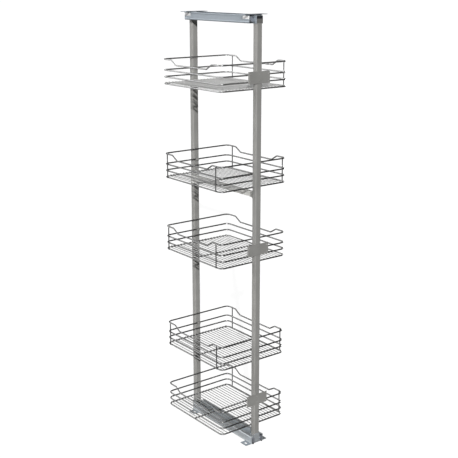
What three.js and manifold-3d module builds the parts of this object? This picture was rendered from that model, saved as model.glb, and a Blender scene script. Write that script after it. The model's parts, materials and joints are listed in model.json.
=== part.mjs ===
// A pull-out larder unit for a tall kitchen cabinet. Five wire baskets hang between two posts.
// The posts stand on a bottom beam and carry a top beam, and both beams run on pairs of ball
// runners whose fixed members are screwed to the cabinet's floor and top.
// Millimetres. X is across the unit, -Y is the way it pulls out, +Z is up. The origin is on the
// cabinet floor, in the middle of the unit.
import * as THREE from "three";
import { mergeVertices } from "three/addons/utils/BufferGeometryUtils.js";
import Module from "manifold-3d";

const wasm = await Module();
wasm.setup();

// ---------------------------------------------------------------- driving dimensions

const SEAT_GAP = 0.25; // clearance of pieces that sit in or around another
const WIRE_GAP = 0.3; // clearance between a hook and the wire that hangs in it

const FRAME_DEPTH = 450; // between the outside faces of the posts

const post = {
  width: 28, // along X
  depth: 24.5, // along Y
  wall: 1.75,
  corner: 5, // radius of the outside corners
  headroom: 15, // from the posts' upper ends to the top beam's web
};

const beam = {
  wall: 1.5,
  bottomHeight: 32,
  topHeight: 30,
  gap: 3, // from a mounting plate to the beam's web
  endTabHeight: 8, // how far the bottom beam's front tab stands above its sides
  holeRadius: 3, // spare holes at the front of the top beam
  holeDrop: 12, // from the cabinet top to their middles
  holeInsets: [19.5, 37.5], // from the beam's front end to their middles
};

const runner = {
  shortfall: 18, // how much shorter the runners are than the frame is deep
  height: 33,
  bottomReach: 4, // how far the bottom runners reach past the front post's outside face
  topReach: 7, // how far the top runners reach past the rear post's outside face
};
// An edge gap is measured from the beam's side to the open edge of a member.
const fixedMember = { wall: 1.4, edgeGap: 6 };
const middleMember = { wall: 1.4, height: 20.8, edgeGap: 3.6, setBack: 1 };
const movingMember = { wall: 1.4, height: 8.8, reach: 8.2, tabWidth: 12, tabHeight: 20 };
const cage = {
  wall: 0.6,
  edge: 0.8, // thickness of the strips that hold the balls
  webGap: 0.9, // clearance on each side of a cage's web
  edgeGap: 0.4, // how far a cage's edge lies inside the edge of the member around it
  length: 190,
  setBack: 117,
  ballPitch: 66,
  ballsPerRow: 3,
  ballGap: 0.3,
};

const mountPlate = {
  width: 114,
  depth: 40,
  thickness: 2,
  corner: 2,
  slotX: 42,
  slotRadius: 5.5,
  slotStraight: 5, // between the centres of a slot's round ends
};
// From the ends of the runners to the middles of the plates.
const PLATE_INSETS = { bottom: { front: 26, rear: 24 }, top: { front: 15, rear: 24 } };

const endBlock = {
  length: 40,
  height: 12,
  proud: 0.4, // how far its face stands out of the runner's side
  inset: 2, // from the end of the runner to the block
  drop: 10.3, // from the runner's upper edge down to the middle of the block
  edgeGap: 0.75, // the dark line round the block
  lip: 2, // how far the block's back plate reaches past its window
  lipWall: 0.5,
};
const bumper = {
  radius: 3.25,
  length: 3,
  shank: 6,
  thickness: 2.5,
  inset: 1, // from the edge of the fixed member to the middle of the bumper
};

const brace = { width: 18, height: 22, wall: 1.5, drop: 18 }; // drop from basket 2's floor
const CLIP_WALL = 1.5; // sheet of the clips that hold the brace
const rearClip = { height: 36, ear: 22, flange: 22.5 };
const frontClip = { ear: 14, drop: 6 }; // drop from the brace's underside

const doorPlate = {
  width: 107,
  height: 48,
  thickness: 2.5,
  flange: 5.5,
  holeX: 46,
  holeRise: 14, // holes above and below the plate's middle
  holeRadius: 2,
  lowZ: 205,
  middleZ: 871,
  topDrop: 240, // from the cabinet top to the middle of the high plate
};

const basket = {
  width: 336, // between the middles of the rim wires
  postGap: 0.3, // between the rim wires and the posts
  corner: 20,
  rimPitch: 28, // between the three lower rim wires
  height: 100, // from the lowest rim wire to the top one
  rimRadius: 3,
  dip: 20, // drop of the top wire along both sides
  dipInset: 58, // from the basket's ends to where the dip starts
  dipSlope: 34, // run of each slope, along Y
  floorWires: 20,
  floorInset: 12, // from the side rim to the outermost floor wire
  floorSize: 2.5,
  weld: 0.35, // how deep a wire sinks into the one that it is welded to
  uprightInset: 28, // from the basket's ends to the upright wires
  uprightRadius: 2.5,
};
// From the lowest basket up: how far each one's floor lies above the one below, or above the
// cabinet floor.
const RISES = {
  basket_5: 76,
  basket_4: 294,
  basket_3: 441,
  basket_2: 316,
  basket_1: 394,
};
const TOP_SPACE = 289; // from the top basket's floor to the cabinet top
// The sides on which each basket has upright wires, -1 left and 1 right.
const UPRIGHTS = {
  basket_5: [1],
  basket_4: [-1, 1],
  basket_3: [-1],
  basket_2: [-1, 1],
  basket_1: [1],
};
const hook = { width: 16, plate: 2.5, lip: 2.5, lipRise: 6.5 };

const screw = { radius: 2, headRadius: 3.5, headHeight: 1.5, length: 5 };

// ---------------------------------------------------------------- derived dimensions

const floors = {};
let reached = 0;
for (const [name, rise] of Object.entries(RISES)) floors[name] = reached += rise;
const UNIT_HEIGHT = reached + TOP_SPACE; // cabinet floor to cabinet top
const rimLevels = [0, basket.rimPitch, 2 * basket.rimPitch, basket.height];

const outerY = FRAME_DEPTH / 2; // from the unit's middle to the outside faces of the posts
const runnerLength = FRAME_DEPTH - runner.shortfall;

const innerFace = outerY - post.depth;
const postMiddle = outerY - post.depth / 2;
const beamHalf = post.width / 2 + SEAT_GAP + beam.wall;
const beamLift = mountPlate.thickness + beam.gap;

// The runner's cross-section, from the beam's side outwards.
const innerCageWeb = beamHalf + movingMember.reach + cage.webGap;
const middleWeb = innerCageWeb + cage.wall + cage.webGap;
const outerCageWeb = middleWeb + middleMember.wall + cage.webGap;
const fixedWeb = outerCageWeb + cage.wall + cage.webGap;
const runnerOuter = fixedWeb + fixedMember.wall;
const fixedEdge = beamHalf + fixedMember.edgeGap;
const middleEdge = beamHalf + middleMember.edgeGap;

// Half heights about the runner's middle.
const runnerMiddleZ = mountPlate.thickness + runner.height / 2;
const fixedInside = runner.height / 2 - fixedMember.wall;
const middleHalf = middleMember.height / 2;
const middleInside = middleHalf - middleMember.wall;
const movingHalf = movingMember.height / 2;

const blockZ = mountPlate.thickness + endBlock.drop; // from the cabinet top
const wireY = innerFace - basket.postGap - basket.rimRadius; // half the basket's depth
const braceTop = floors.basket_2 - brace.drop;

// The posts' screws lie halfway between the moving members and the beams' edges.
const screwRise = (beamHeight) => (runnerMiddleZ + movingHalf + beamLift + beamHeight) / 2;
const screwHeights = [
  screwRise(beam.bottomHeight),
  UNIT_HEIGHT - screwRise(beam.topHeight),
];

// ---------------------------------------------------------------- materials

const material = (color, roughness, metalness) => () =>
  new THREE.MeshStandardMaterial({ color, roughness, metalness });
const greyPaint = material(0x96958f, 0.5, 0.2);
const wirePaint = material(0x7b7b7b, 0.45, 0.3);
const zinc = material(0x86909a, 0.35, 0.8);
const steel = material(0xb9bcc0, 0.25, 1);
const darkSteel = material(0x3a3d42, 0.4, 0.8);
const whitePlastic = material(0xdcdcda, 0.5, 0);
const palePlastic = material(0xbfbdc0, 0.5, 0);
const blackRubber = material(0x1d1f24, 0.8, 0);

// ---------------------------------------------------------------- helpers

const unit = new THREE.Group();

function addPiece(name, geometry, makeMaterial, group = unit) {
  const mesh = new THREE.Mesh(geometry, makeMaterial());
  mesh.name = name;
  group.add(mesh);
  return mesh;
}

function outlineShape(points, holes = []) {
  const toVectors = (list) => list.map(([u, v]) => new THREE.Vector2(u, v));
  const shape = new THREE.Shape(toVectors(points));
  shape.holes = holes.map((hole) => new THREE.Path(toVectors(hole)));
  return shape;
}

// Extrudes an outline from one coordinate to another. The outline is drawn in the other two
// axes: (Y, Z) for x, (X, Z) for y and (X, Y) for z.
function extrude(axis, points, from, to, holes = []) {
  const settings = { depth: to - from, bevelEnabled: false };
  const geometry = new THREE.ExtrudeGeometry(outlineShape(points, holes), settings);
  const [x, y, z] = [0, 1, 2].map((i) => new THREE.Vector3().setComponent(i, 1));
  const turn = new THREE.Matrix4();
  if (axis === "x") turn.makeBasis(y, z, x).setPosition(from, 0, 0);
  if (axis === "y") turn.makeBasis(x, z, y.negate()).setPosition(0, to, 0);
  if (axis === "z") turn.setPosition(0, 0, from);
  return geometry.applyMatrix4(turn);
}

const rectangle = (u0, v0, u1, v1) => [
  [u0, v0],
  [u1, v0],
  [u1, v1],
  [u0, v1],
];

function box(x0, x1, y0, y1, z0, z1) {
  return extrude("z", rectangle(x0, y0, x1, y1), z0, z1);
}

// Points of an arc about a centre, between two angles in quarter turns.
function arc(u, v, radius, start, end, steps) {
  return Array.from({ length: steps + 1 }, (_, i) => {
    const angle = ((start + ((end - start) * i) / steps) * Math.PI) / 2;
    return [u + radius * Math.cos(angle), v + radius * Math.sin(angle)];
  });
}

function roundedRectangle(halfU, halfV, radius, steps) {
  const signs = [
    [1, 1],
    [-1, 1],
    [-1, -1],
    [1, -1],
  ];
  return signs.flatMap(([su, sv], i) =>
    arc(su * (halfU - radius), sv * (halfV - radius), radius, i, i + 1, steps),
  );
}

// A slot with round ends whose straight stretch runs along v.
function slotOutline(u, v, radius, straight, steps = 4) {
  return [
    ...arc(u, v + straight / 2, radius, 0, 2, steps),
    ...arc(u, v - straight / 2, radius, 2, 4, steps),
  ];
}

const mirrored = (points, side) => points.map(([u, v]) => [side * u, v]);
const moved = (points, du, dv) => points.map(([u, v]) => [u + du, v + dv]);
const sideSpan = (side, a, b) => [side * a, side * b].sort((p, q) => p - q);

function toSolid(geometry) {
  const bare = geometry.clone();
  bare.deleteAttribute("normal");
  bare.deleteAttribute("uv");
  const merged = mergeVertices(bare, 1e-4);
  return new wasm.Manifold(
    new wasm.Mesh({
      numProp: 3,
      vertProperties: new Float32Array(merged.attributes.position.array),
      triVerts: new Uint32Array(merged.index.array),
    }),
  );
}

function toGeometry(solid) {
  const { vertProperties, triVerts } = solid.getMesh();
  const geometry = new THREE.BufferGeometry();
  geometry.setAttribute("position", new THREE.BufferAttribute(vertProperties, 3));
  geometry.setIndex(new THREE.BufferAttribute(triVerts, 1));
  const flat = geometry.toNonIndexed();
  flat.computeVertexNormals();
  return flat;
}

function join(geometries) {
  return toGeometry(geometries.map(toSolid).reduce((all, next) => all.add(next)));
}

function cut(geometry, tools) {
  return toGeometry(tools.map(toSolid).reduce((left, tool) => left.subtract(tool), toSolid(geometry)));
}

// ---------------------------------------------------------------- wires

// A ring of points round each point of a closed wire. No stretch of it is upright.
function wireLoop(points, radius, sides = 6) {
  const up = new THREE.Vector3(0, 0, 1);
  const count = points.length;
  const position = [];
  points.forEach((point, i) => {
    const before = new THREE.Vector3().subVectors(point, points[(i + count - 1) % count]);
    const after = new THREE.Vector3().subVectors(points[(i + 1) % count], point);
    const along = before.normalize().add(after.normalize()).normalize();
    const across = new THREE.Vector3().crossVectors(along, up).normalize();
    const over = new THREE.Vector3().crossVectors(across, along);
    for (let k = 0; k < sides; k++) {
      const angle = (2 * Math.PI * k) / sides;
      const corner = point
        .clone()
        .addScaledVector(across, radius * Math.cos(angle))
        .addScaledVector(over, radius * Math.sin(angle));
      position.push(...corner.toArray());
    }
  });
  const index = [];
  for (let i = 0; i < count; i++) {
    for (let k = 0; k < sides; k++) {
      const a = i * sides + k;
      const b = i * sides + ((k + 1) % sides);
      const c = ((i + 1) % count) * sides + k;
      const d = ((i + 1) % count) * sides + ((k + 1) % sides);
      index.push(a, c, b, b, c, d);
    }
  }
  const geometry = new THREE.BufferGeometry();
  geometry.setAttribute("position", new THREE.Float32BufferAttribute(position, 3));
  geometry.setIndex(index);
  return geometry.toNonIndexed();
}

// Middle line of one rim wire, anticlockwise from the right side's rear. A dip lowers both sides.
function rimPoints(z, dip) {
  const halfX = basket.width / 2;
  const high = wireY - basket.dipInset;
  const low = high - basket.dipSlope;
  const corners = roundedRectangle(halfX, wireY, basket.corner, 3);
  const quarter = corners.length / 4;
  const sideDip = (side) =>
    [
      [high, 0],
      [low, dip],
      [-low, dip],
      [-high, 0],
    ].map(([y, drop]) => new THREE.Vector3(side * halfX, y, z - drop));
  const bend = (from) =>
    corners.slice(from * quarter, (from + 1) * quarter).map(([x, y]) => new THREE.Vector3(x, y, z));
  const left = dip ? sideDip(-1) : [];
  const right = dip ? sideDip(1).reverse() : [];
  return [...bend(0), ...bend(1), ...left, ...bend(2), ...bend(3), ...right];
}

const hexagon = (radius) => arc(0, 0, radius, 0, 10 / 3, 5);

function makeBasket(name) {
  const { height, rimRadius, floorSize, weld } = basket;
  const z = floors[name];
  const halfX = basket.width / 2;
  const rims = rimLevels.map((level) =>
    wireLoop(rimPoints(z + level, level === height ? basket.dip : 0), rimRadius),
  );
  const rimTop = z + rimRadius * Math.cos(Math.PI / 6);
  const midWire = extrude("x", moved(hexagon(rimRadius), 0, z), -halfX, halfX);
  const span = basket.width - 2 * basket.floorInset;
  const endY = wireY + rimRadius / 2;
  const floor = Array.from({ length: basket.floorWires }, (_, i) => {
    const x = -span / 2 + (span * i) / (basket.floorWires - 1);
    const bottom = rimTop - weld;
    return box(x - floorSize / 2, x + floorSize / 2, -endY, endY, bottom, bottom + floorSize);
  });
  const offset = rimRadius + basket.uprightRadius - weld;
  const posts = UPRIGHTS[name].flatMap((side) =>
    [-1, 1].map((end) => {
      const outline = moved(
        hexagon(basket.uprightRadius),
        side * (halfX + offset),
        end * (wireY - basket.uprightInset),
      );
      return extrude("z", outline, z - rimRadius / 2, z + height + rimRadius / 2);
    }),
  );
  addPiece(name, join([...rims, midWire, ...floor, ...posts]), wirePaint);
}

// A J-shaped hook on the inside face of a post, under the third rim wire from the bottom.
function makeHook(name, z, end) {
  const face = innerFace;
  const wireZ = z + rimLevels[2];
  const ledge = wireZ - basket.rimRadius - WIRE_GAP;
  const foot = z + rimLevels[1] + basket.rimRadius + WIRE_GAP;
  const lipOuter = wireY - basket.rimRadius - WIRE_GAP;
  const lipInner = lipOuter - hook.lip;
  const outline = [
    [face, foot],
    [face, ledge],
    [lipOuter, ledge],
    [lipOuter, ledge + hook.lipRise],
    [lipInner, ledge + hook.lipRise],
    [lipInner, ledge - hook.plate],
    [face - hook.plate, ledge - hook.plate],
    [face - hook.plate, foot],
  ];
  const geometry = extrude("x", mirrored(outline, end), -hook.width / 2, hook.width / 2);
  addPiece(name, geometry, greyPaint);
}

// ---------------------------------------------------------------- posts and beams

const screwHole = (x0, x1, y, z, radius) =>
  extrude("x", moved(arc(0, 0, radius, 0, 3.5, 7), y, z), x0, x1);

function makePost(name, end) {
  const outside = roundedRectangle(post.width / 2, post.depth / 2, post.corner, 3);
  const inX = post.width / 2 - post.wall;
  const inY = post.depth / 2 - post.wall;
  const hollow = roundedRectangle(inX, inY, post.corner - post.wall, 2);
  const bottom = beamLift + beam.wall;
  const top = UNIT_HEIGHT - beamLift - beam.wall - post.headroom;
  const tube = extrude("z", outside, bottom, top, [hollow]);
  const holes = screwHeights.map((z) =>
    screwHole(-post.width, post.width, 0, z, screw.radius + SEAT_GAP),
  );
  const mesh = addPiece(name, cut(tube, holes), greyPaint);
  mesh.position.y = end * postMiddle;
}

// A channel that holds the posts' ends between its sides. It opens away from the cabinet's panel.
function channelOutline(height) {
  const top = beamLift + height;
  const floor = beamLift + beam.wall;
  const inside = beamHalf - beam.wall;
  return [
    [-beamHalf, beamLift],
    [beamHalf, beamLift],
    [beamHalf, top],
    [inside, top],
    [inside, floor],
    [-inside, floor],
    [-inside, top],
    [-beamHalf, top],
  ];
}

function beamScrewHoles(z) {
  const radius = screw.radius + SEAT_GAP;
  return [-1, 1].map((end) => screwHole(-2 * beamHalf, 2 * beamHalf, end * postMiddle, z, radius));
}

function makeBottomBeam() {
  const channel = extrude("y", channelOutline(beam.bottomHeight), -outerY, outerY);
  const tabTop = beamLift + beam.bottomHeight + beam.endTabHeight;
  const tab = box(
    -beamHalf,
    beamHalf,
    -outerY - beam.wall,
    -outerY,
    beamLift,
    tabTop,
  );
  addPiece("bottom_beam", cut(join([channel, tab]), beamScrewHoles(screwHeights[0])), zinc);
}

function makeTopBeam() {
  const outline = channelOutline(beam.topHeight).map(([x, z]) => [-x, UNIT_HEIGHT - z]);
  const channel = extrude("y", outline, -outerY, outerY);
  const spareZ = UNIT_HEIGHT - beam.holeDrop;
  const spare = beam.holeInsets.map((inset) => {
    const y = inset - outerY;
    return screwHole(-2 * beamHalf, 2 * beamHalf, y, spareZ, beam.holeRadius);
  });
  const holes = [...beamScrewHoles(screwHeights[1]), ...spare];
  addPiece("top_beam", cut(channel, holes), zinc);
}

// A screw through the beam's right side and the post's right wall.
function makeScrew(name, end, z) {
  const profile = [
    [0, 0],
    [screw.radius, 0],
    [screw.radius, screw.length],
    [screw.headRadius, screw.length],
    [screw.headRadius, screw.length + screw.headHeight],
    [0, screw.length + screw.headHeight],
  ];
  const geometry = new THREE.LatheGeometry(
    profile.map(([r, h]) => new THREE.Vector2(r, h)),
    8,
  );
  const mesh = addPiece(name, geometry, darkSteel);
  mesh.rotation.z = -Math.PI / 2;
  mesh.position.set(beamHalf - screw.length, end * postMiddle, z);
}

// ---------------------------------------------------------------- brace and door plates

function makeBrace() {
  const half = brace.width / 2;
  const inside = half - brace.wall;
  const bottom = braceTop - brace.height;
  const outline = [
    [half, bottom],
    [half, braceTop],
    [-half, braceTop],
    [-half, bottom],
    [-inside, bottom],
    [-inside, braceTop - brace.wall],
    [inside, braceTop - brace.wall],
    [inside, bottom],
  ];
  const end = innerFace - CLIP_WALL;
  addPiece("mid_brace", extrude("y", outline, -end, end), greyPaint);
}

// A clip whose web lies on the rear post's inside face. Two flanges hold the post and two ears the
// brace.
function makeRearClip() {
  const inside = post.width / 2 + SEAT_GAP;
  const outside = inside + CLIP_WALL;
  const earInside = brace.width / 2 + SEAT_GAP;
  const earOutside = earInside + CLIP_WALL;
  const web = innerFace - CLIP_WALL;
  const half = [
    [earInside, web],
    [earInside, web - rearClip.ear],
    [earOutside, web - rearClip.ear],
    [earOutside, web],
    [outside, web],
    [outside, innerFace + rearClip.flange],
    [inside, innerFace + rearClip.flange],
    [inside, innerFace],
  ];
  const otherHalf = mirrored(half, -1).reverse();
  const clip = extrude("z", [...half, ...otherHalf], braceTop - rearClip.height, braceTop);
  addPiece("mid_brace_rear_clip", clip, greyPaint);
}

// A clip on the front post's inside face, whose two ears hold the brace and deepen at the post.
function makeFrontClip() {
  const earInside = brace.width / 2 + SEAT_GAP;
  const earOutside = earInside + CLIP_WALL;
  const web = CLIP_WALL - innerFace;
  const braceBottom = braceTop - brace.height;
  const bottom = braceBottom - frontClip.drop;
  const outline = [
    [-innerFace, bottom],
    [web, bottom],
    [web + frontClip.ear, braceBottom],
    [web + frontClip.ear, braceTop],
    [-innerFace, braceTop],
  ];
  const ears = [-1, 1].map((side) =>
    extrude("x", outline, ...sideSpan(side, earInside, earOutside)),
  );
  const back = box(-earOutside, earOutside, -innerFace, web, bottom, braceTop);
  addPiece("mid_brace_front_clip", join([back, ...ears]), greyPaint);
}

// A shallow channel on the front post that the cabinet door is screwed to.
function makeDoorPlate(name, z) {
  const half = doorPlate.width / 2;
  const wall = doorPlate.thickness;
  const front = -outerY - wall;
  const outline = [
    [-half, front],
    [half, front],
    [half, front + doorPlate.flange],
    [half - wall, front + doorPlate.flange],
    [half - wall, front + wall],
    [wall - half, front + wall],
    [wall - half, front + doorPlate.flange],
    [-half, front + doorPlate.flange],
  ];
  const bottom = z - doorPlate.height / 2;
  const plate = extrude("z", outline, bottom, bottom + doorPlate.height);
  const holes = [-1, 1].flatMap((side) =>
    [-1, 1].map((level) => {
      const outline = arc(0, 0, doorPlate.holeRadius, 0, 3.5, 7);
      const place = moved(outline, side * doorPlate.holeX, z + level * doorPlate.holeRise);
      return extrude("y", place, front - wall, front + 2 * wall);
    }),
  );
  addPiece(name, cut(plate, holes), greyPaint);
}

// ---------------------------------------------------------------- runners

// Each runner set is drawn standing on its panel, with its middle at Y = 0. Every member is a
// channel, and its outline is given by its back, its open edge and its half height.

function memberOutline(back, open, half, wall) {
  const inside = back + Math.sign(open - back) * wall;
  return [
    [back, -half],
    [open, -half],
    [open, wall - half],
    [inside, wall - half],
    [inside, half - wall],
    [open, half - wall],
    [open, half],
    [back, half],
  ];
}

function member(side, outline, from, to) {
  return extrude("y", moved(mirrored(outline, side), 0, runnerMiddleZ), from, to);
}

function blockPlaces(set) {
  if (!set.blocks) return [];
  const outer = runnerLength / 2 - endBlock.inset - endBlock.length / 2;
  return [
    { end: "front", y: -outer, make: whitePlastic },
    { end: "rear", y: outer, make: palePlastic },
  ];
}

function makeFixedMember(set, side, label) {
  const outline = memberOutline(runnerOuter, fixedEdge, runner.height / 2, fixedMember.wall);
  const solid = member(side, outline, -runnerLength / 2, runnerLength / 2);
  const windows = blockPlaces(set).map(({ y }) => {
    const halfY = endBlock.length / 2 + endBlock.edgeGap;
    const halfZ = endBlock.height / 2 + endBlock.edgeGap;
    const window = moved(rectangle(-halfY, -halfZ, halfY, halfZ), y, blockZ);
    return extrude("x", window, ...sideSpan(side, fixedWeb - cage.webGap, 2 * runnerOuter));
  });
  const geometry = windows.length ? cut(solid, windows) : solid;
  addPiece(set.name + "_fixed_member_" + label, geometry, zinc, set.group);
}

function makeMiddleMember(set, side, label) {
  const back = middleWeb + middleMember.wall;
  const outline = memberOutline(back, middleEdge, middleHalf, middleMember.wall);
  const end = runnerLength / 2 - middleMember.setBack;
  const geometry = member(side, outline, -end, end);
  addPiece(set.name + "_middle_member_" + label, geometry, steel, set.group);
}

// The member on the beam's side, with a tab across its front end that closes the runner's mouth.
function makeMovingMember(set, side, label) {
  const { wall, reach, tabWidth, tabHeight } = movingMember;
  const outline = memberOutline(beamHalf, beamHalf + reach, movingHalf, wall);
  const end = runnerLength / 2;
  const channel = member(side, outline, -end, end);
  const half = tabHeight / 2;
  const face = rectangle(beamHalf, -half, beamHalf + tabWidth, half);
  const geometry = join([channel, member(side, face, -end - wall, -end)]);
  addPiece(set.name + "_moving_member_" + label, geometry, steel, set.group);
}

// A thin channel with a row of balls along each edge. The balls run between the flanges of two
// members, which lie at the half heights inner and outer.
function makeCage(set, side, label, { which, web, edge, inner, outer }) {
  const middle = (inner + outer) / 2;
  const ballRadius = (outer - inner) / 2 - cage.ballGap;
  const back = web + cage.wall;
  const half = middle + cage.edge / 2;
  const outline = memberOutline(back, edge, half, cage.edge).map(([x, z]) =>
    x > edge && x < back ? [web, z] : [x, z],
  );
  const front = -runnerLength / 2 + cage.setBack;
  const strip = member(side, outline, front, front + cage.length);
  const firstY = front + (cage.length - cage.ballPitch * (cage.ballsPerRow - 1)) / 2;
  const ballX = side * (edge + ballRadius);
  const balls = [-1, 1].flatMap((row) =>
    Array.from({ length: cage.ballsPerRow }, (_, i) =>
      new THREE.IcosahedronGeometry(ballRadius, 0).translate(
        ballX,
        firstY + i * cage.ballPitch,
        runnerMiddleZ + row * middle,
      ),
    ),
  );
  const name = [set.name, which, "cage", label].join("_");
  addPiece(name, join([strip, ...balls]), steel, set.group);
}

// A block whose face fills a window in the fixed member, with a lip behind the web round it.
function makeEndBlocks(set, side, label) {
  blockPlaces(set).forEach(({ end, y, make }) => {
    const slab = (margin, from, to) => {
      const halfY = endBlock.length / 2 + margin;
      const halfZ = endBlock.height / 2 + margin;
      const outline = moved(rectangle(-halfY, -halfZ, halfY, halfZ), y, blockZ);
      return extrude("x", outline, ...sideSpan(side, from, to));
    };
    const back = fixedWeb - SEAT_GAP;
    const lip = slab(endBlock.lip, back - endBlock.lipWall, back);
    const face = slab(0, back - endBlock.lipWall, runnerOuter + endBlock.proud);
    const name = [set.name, end, "block", label].join("_");
    addPiece(name, join([lip, face]), make, set.group);
  });
}

function makeMountPlate(set, place, end) {
  const halfX = mountPlate.width / 2;
  const halfY = mountPlate.depth / 2;
  const slots = [-1, 1].map((side) =>
    slotOutline(side * mountPlate.slotX, 0, mountPlate.slotRadius, mountPlate.slotStraight),
  );
  const outline = roundedRectangle(halfX, halfY, mountPlate.corner, 1);
  const plate = extrude("z", outline, 0, mountPlate.thickness, slots);
  const mesh = addPiece([set.name, place, "mount_plate"].join("_"), plate, zinc, set.group);
  mesh.position.y = end * (runnerLength / 2 - PLATE_INSETS[set.name][place]);
}

// Rubber stops in the front ends of the bottom runners' fixed members.
function makeBumper(set, side, label) {
  const seat = mountPlate.thickness + fixedMember.wall;
  const front = -runnerLength / 2;
  const x = side * (fixedEdge + bumper.inset);
  const half = bumper.thickness;
  const round = moved(arc(0, 0, bumper.radius, 0, 3.5, 7), x, seat + half / 2);
  const head = extrude("y", round, front - bumper.length, front);
  const [y0, y1] = [front - bumper.length / 2, front + bumper.shank];
  const shank = box(x - half, x + half, y0, y1, seat, seat + half);
  addPiece(set.name + "_bumper_" + label, join([head, shank]), blackRubber, set.group);
}

function makeRunnerSet(set) {
  unit.add(set.group);
  for (const [label, side] of Object.entries(set.sides)) {
    makeFixedMember(set, side, label);
    makeMiddleMember(set, side, label);
    makeMovingMember(set, side, label);
    makeCage(set, side, label, {
      which: "outer",
      web: outerCageWeb,
      edge: fixedEdge + cage.edgeGap,
      inner: middleHalf,
      outer: fixedInside,
    });
    makeCage(set, side, label, {
      which: "inner",
      web: innerCageWeb,
      edge: middleEdge + cage.edgeGap,
      inner: movingHalf,
      outer: middleInside,
    });
    makeEndBlocks(set, side, label);
    if (set.bumpers) makeBumper(set, side, label);
  }
  makeMountPlate(set, "front", -1);
  makeMountPlate(set, "rear", 1);
}

// ---------------------------------------------------------------- assembly

const bottomSet = {
  name: "bottom",
  group: new THREE.Group(),
  sides: { left: -1, right: 1 },
  blocks: false,
  bumpers: true,
};
bottomSet.group.position.y = runnerLength / 2 - outerY - runner.bottomReach;
makeRunnerSet(bottomSet);

// The top runners hang from the cabinet top: the same set, turned over about the Y axis.
const topSet = {
  name: "top",
  group: new THREE.Group(),
  sides: { left: 1, right: -1 },
  blocks: true,
  bumpers: false,
};
topSet.group.position.y = outerY + runner.topReach - runnerLength / 2;
topSet.group.position.z = UNIT_HEIGHT;
topSet.group.rotation.y = Math.PI;
makeRunnerSet(topSet);

makeBottomBeam();
makeTopBeam();
makePost("front_post", -1);
makePost("rear_post", 1);
makeBrace();
makeFrontClip();
makeRearClip();
makeDoorPlate("door_plate_low", doorPlate.lowZ);
makeDoorPlate("door_plate_middle", doorPlate.middleZ);
makeDoorPlate("door_plate_high", UNIT_HEIGHT - doorPlate.topDrop);
for (const [name, floor] of Object.entries(floors)) {
  makeBasket(name);
  makeHook(name + "_front_hook", floor, -1);
  makeHook(name + "_rear_hook", floor, 1);
}
for (const [end, place] of [
  [-1, "front"],
  [1, "rear"],
]) {
  makeScrew(place + "_post_foot_screw", end, screwHeights[0]);
  makeScrew(place + "_post_top_screw", end, screwHeights[1]);
}

export default unit;
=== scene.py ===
"""Pull-out larder unit: five wire baskets on two posts, with ball runners at foot and top.

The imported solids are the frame, and each piece takes its place from the node that it stands
for. Shapes are worked out in millimetres, and the scene is in metres.
"""

import json
import math

import bmesh
import bpy
from mathutils import Euler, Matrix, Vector
from mathutils.geometry import tessellate_polygon

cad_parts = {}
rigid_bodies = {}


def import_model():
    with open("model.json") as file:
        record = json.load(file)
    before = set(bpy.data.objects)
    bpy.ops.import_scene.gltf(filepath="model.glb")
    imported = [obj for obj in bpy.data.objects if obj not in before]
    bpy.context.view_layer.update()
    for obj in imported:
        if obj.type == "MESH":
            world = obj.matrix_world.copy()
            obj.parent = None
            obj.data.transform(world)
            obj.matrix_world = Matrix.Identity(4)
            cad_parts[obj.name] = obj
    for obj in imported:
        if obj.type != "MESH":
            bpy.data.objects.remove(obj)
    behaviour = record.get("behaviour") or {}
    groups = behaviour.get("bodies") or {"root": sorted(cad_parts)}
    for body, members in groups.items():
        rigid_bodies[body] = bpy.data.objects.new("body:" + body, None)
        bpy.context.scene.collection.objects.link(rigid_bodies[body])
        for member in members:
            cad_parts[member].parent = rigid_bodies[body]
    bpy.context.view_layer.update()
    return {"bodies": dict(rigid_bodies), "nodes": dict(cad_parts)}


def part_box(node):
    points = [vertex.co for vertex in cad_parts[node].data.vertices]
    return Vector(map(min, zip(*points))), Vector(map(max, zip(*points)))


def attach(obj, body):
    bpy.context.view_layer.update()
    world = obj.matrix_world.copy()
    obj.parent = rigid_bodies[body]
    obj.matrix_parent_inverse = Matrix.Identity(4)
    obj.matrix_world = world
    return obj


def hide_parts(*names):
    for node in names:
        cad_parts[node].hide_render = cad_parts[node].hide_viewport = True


bl_info = {
    "name": "Pull-out larder unit",
    "version": (1, 0, 0),
    "blender": (4, 5, 0),
    "location": "3D View > Sidebar > Larder",
    "description": "Makes a pull-out larder unit with five wire baskets",
    "category": "Object",
}

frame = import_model()
MM = 0.001
SHARP = math.radians(38)  # faces that meet at a larger angle keep a sharp edge
BASKETS = tuple(f"basket_{number}" for number in range(1, 6))
ENDS = ("front", "rear")
SIDES = ("left", "right")
RUNNER_SETS = ("bottom", "top")

# Sizes that more than one piece shares, in millimetres.
SHEET = 1.5  # thickness of the beams, the brace and its clips
MEMBER_WALL = 1.4  # thickness of the runner members
MOVING_REACH, MOVING_HALF = 8.2, 4.4  # width and half height of a moving member's channel
BLOCK_LIP = 2.0  # how far a block's lip reaches past its face on every side
SCREW_HOLE = 2.25  # radius

# Sizes of the baskets, in millimetres.
RIM_LEVELS = (0, 28, 56, 100)  # heights of the rim wires above the lowest one
FLOOR_WIRES = 20
UPRIGHT_SIDES = {"basket_1": (1,), "basket_3": (-1,), "basket_5": (1,)}  # the others have both
UPRIGHT_OVERLAP = 0.35  # how deep an upright is welded into the rims


# ---------------------------------------------------------------- places in the frame


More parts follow.
